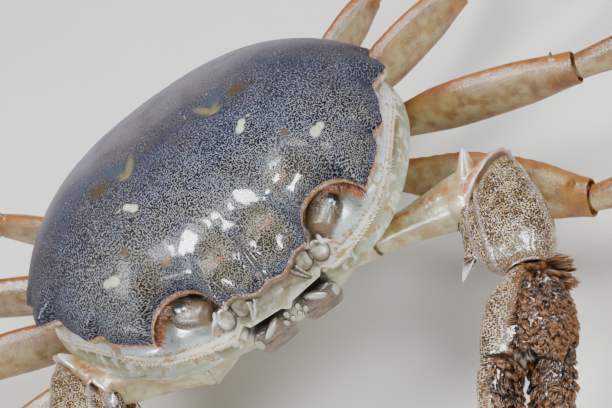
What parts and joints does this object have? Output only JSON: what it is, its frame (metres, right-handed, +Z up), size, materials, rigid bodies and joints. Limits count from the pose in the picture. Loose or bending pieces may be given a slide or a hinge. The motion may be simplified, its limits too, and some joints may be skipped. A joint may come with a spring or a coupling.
{
  "type": "river crab",
  "caption": "Whole mitten crab, life size, standing with its claws forward and its walking legs spread, domed shell with side teeth.",
  "frame": {"origin": "on the floor under the middle of the whole crab's bounding box, legs and claws included", "axes": "+X is the crab's left, the way its longest legs spread; +Y is its back; +Z is up"},
  "size_m": [0.162, 0.109, 0.0388],
  "materials": {
    "shell": "wet gloss",
    "breast": "satin",
    "eye": "gloss",
    "mouthparts": "wet gloss",
    "claw": "wet gloss",
    "leg": "wet gloss",
    "toe": "satin"
  },
  "bodies": {
    "root": {"carapace": "shell", "thorax": "breast", "abdomen": "breast", "eye_left": "eye", "maxilliped_left": "mouthparts", "antennule_left": "mouthparts", "antenna_left": "mouthparts", "claw_merus_left": "claw", "claw_carpus_left": "claw", "claw_palm_left": "claw", "claw_finger_left": "claw", "leg2_merus_left": "leg", "leg2_carpus_left": "leg", "leg2_propodus_left": "leg", "leg2_dactylus_left": "toe", "leg3_merus_left": "leg", "leg3_carpus_left": "leg", "leg3_propodus_left": "leg", "leg3_dactylus_left": "toe", "leg4_merus_left": "leg", "leg4_carpus_left": "leg", "leg4_propodus_left": "leg", "leg4_dactylus_left": "toe", "leg5_merus_left": "leg", "leg5_carpus_left": "leg", "leg5_propodus_left": "leg", "leg5_dactylus_left": "toe", "eye_right": "eye", "maxilliped_right": "mouthparts", "antennule_right": "mouthparts", "antenna_right": "mouthparts", "claw_merus_right": "claw", "claw_carpus_right": "claw", "claw_palm_right": "claw", "claw_finger_right": "claw", "leg2_merus_right": "leg", "leg2_carpus_right": "leg", "leg2_propodus_right": "leg", "leg2_dactylus_right": "toe", "leg3_merus_right": "leg", "leg3_carpus_right": "leg", "leg3_propodus_right": "leg", "leg3_dactylus_right": "toe", "leg4_merus_right": "leg", "leg4_carpus_right": "leg", "leg4_propodus_right": "leg", "leg4_dactylus_right": "toe", "leg5_merus_right": "leg", "leg5_carpus_right": "leg", "leg5_propodus_right": "leg", "leg5_dactylus_right": "toe"}
  },
  "joints": []
}
